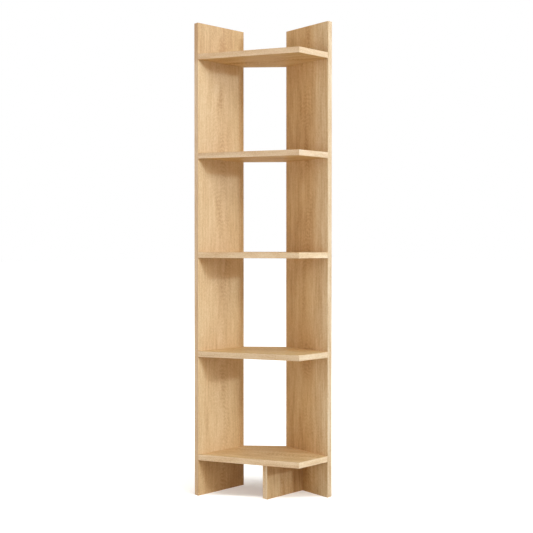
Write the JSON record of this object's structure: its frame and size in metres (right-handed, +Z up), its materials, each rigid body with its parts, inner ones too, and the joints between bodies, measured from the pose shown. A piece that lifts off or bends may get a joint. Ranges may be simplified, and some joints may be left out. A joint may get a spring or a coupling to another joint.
{
  "type": "corner shelf unit",
  "caption": "Tall open corner shelf in light oak, with flat side panels, fixed shelves whose front edge slants, and a low foot board.",
  "frame": {"origin": "middle of the bounding box in plan, on the floor", "axes": "+Z up; +Y towards the wall behind the right panel; -X towards the wall behind the left panel"},
  "size_m": [0.3712, 0.3712, 1.8],
  "materials": {
    "side_boards": "light oak, satin",
    "shelf_boards": "light oak, satin",
    "foot_board": "light oak, satin",
    "screws": "zinc plated",
    "caps": "oak coloured plastic",
    "dowels": "plain beech"
  },
  "bodies": {
    "root": {"left_panel": "side_boards", "right_panel": "side_boards", "foot_board": "foot_board", "shelf_1": "shelf_boards", "shelf_1_left_screw_1": "screws", "shelf_1_left_cap_1": "caps", "shelf_1_left_screw_2": "screws", "shelf_1_left_cap_2": "caps", "shelf_1_right_screw_1": "screws", "shelf_1_right_cap_1": "caps", "shelf_1_right_screw_2": "screws", "shelf_1_right_cap_2": "caps", "shelf_2": "shelf_boards", "shelf_2_left_screw_1": "screws", "shelf_2_left_cap_1": "caps", "shelf_2_left_screw_2": "screws", "shelf_2_left_cap_2": "caps", "shelf_2_right_screw_1": "screws", "shelf_2_right_cap_1": "caps", "shelf_2_right_screw_2": "screws", "shelf_2_right_cap_2": "caps", "shelf_3": "shelf_boards", "shelf_3_left_screw_1": "screws", "shelf_3_left_cap_1": "caps", "shelf_3_left_screw_2": "screws", "shelf_3_left_cap_2": "caps", "shelf_3_right_screw_1": "screws", "shelf_3_right_cap_1": "caps", "shelf_3_right_screw_2": "screws", "shelf_3_right_cap_2": "caps", "shelf_4": "shelf_boards", "shelf_4_left_screw_1": "screws", "shelf_4_left_cap_1": "caps", "shelf_4_left_screw_2": "screws", "shelf_4_left_cap_2": "caps", "shelf_4_right_screw_1": "screws", "shelf_4_right_cap_1": "caps", "shelf_4_right_screw_2": "screws", "shelf_4_right_cap_2": "caps", "shelf_5": "shelf_boards", "shelf_5_left_screw_1": "screws", "shelf_5_left_cap_1": "caps", "shelf_5_left_screw_2": "screws", "shelf_5_left_cap_2": "caps", "shelf_5_right_screw_1": "screws", "shelf_5_right_cap_1": "caps", "shelf_5_right_screw_2": "screws", "shelf_5_right_cap_2": "caps", "foot_screw_1": "screws", "foot_cap_1": "caps", "foot_screw_2": "screws", "foot_cap_2": "caps", "foot_dowel_1": "dowels", "foot_dowel_2": "dowels"}
  },
  "joints": []
}
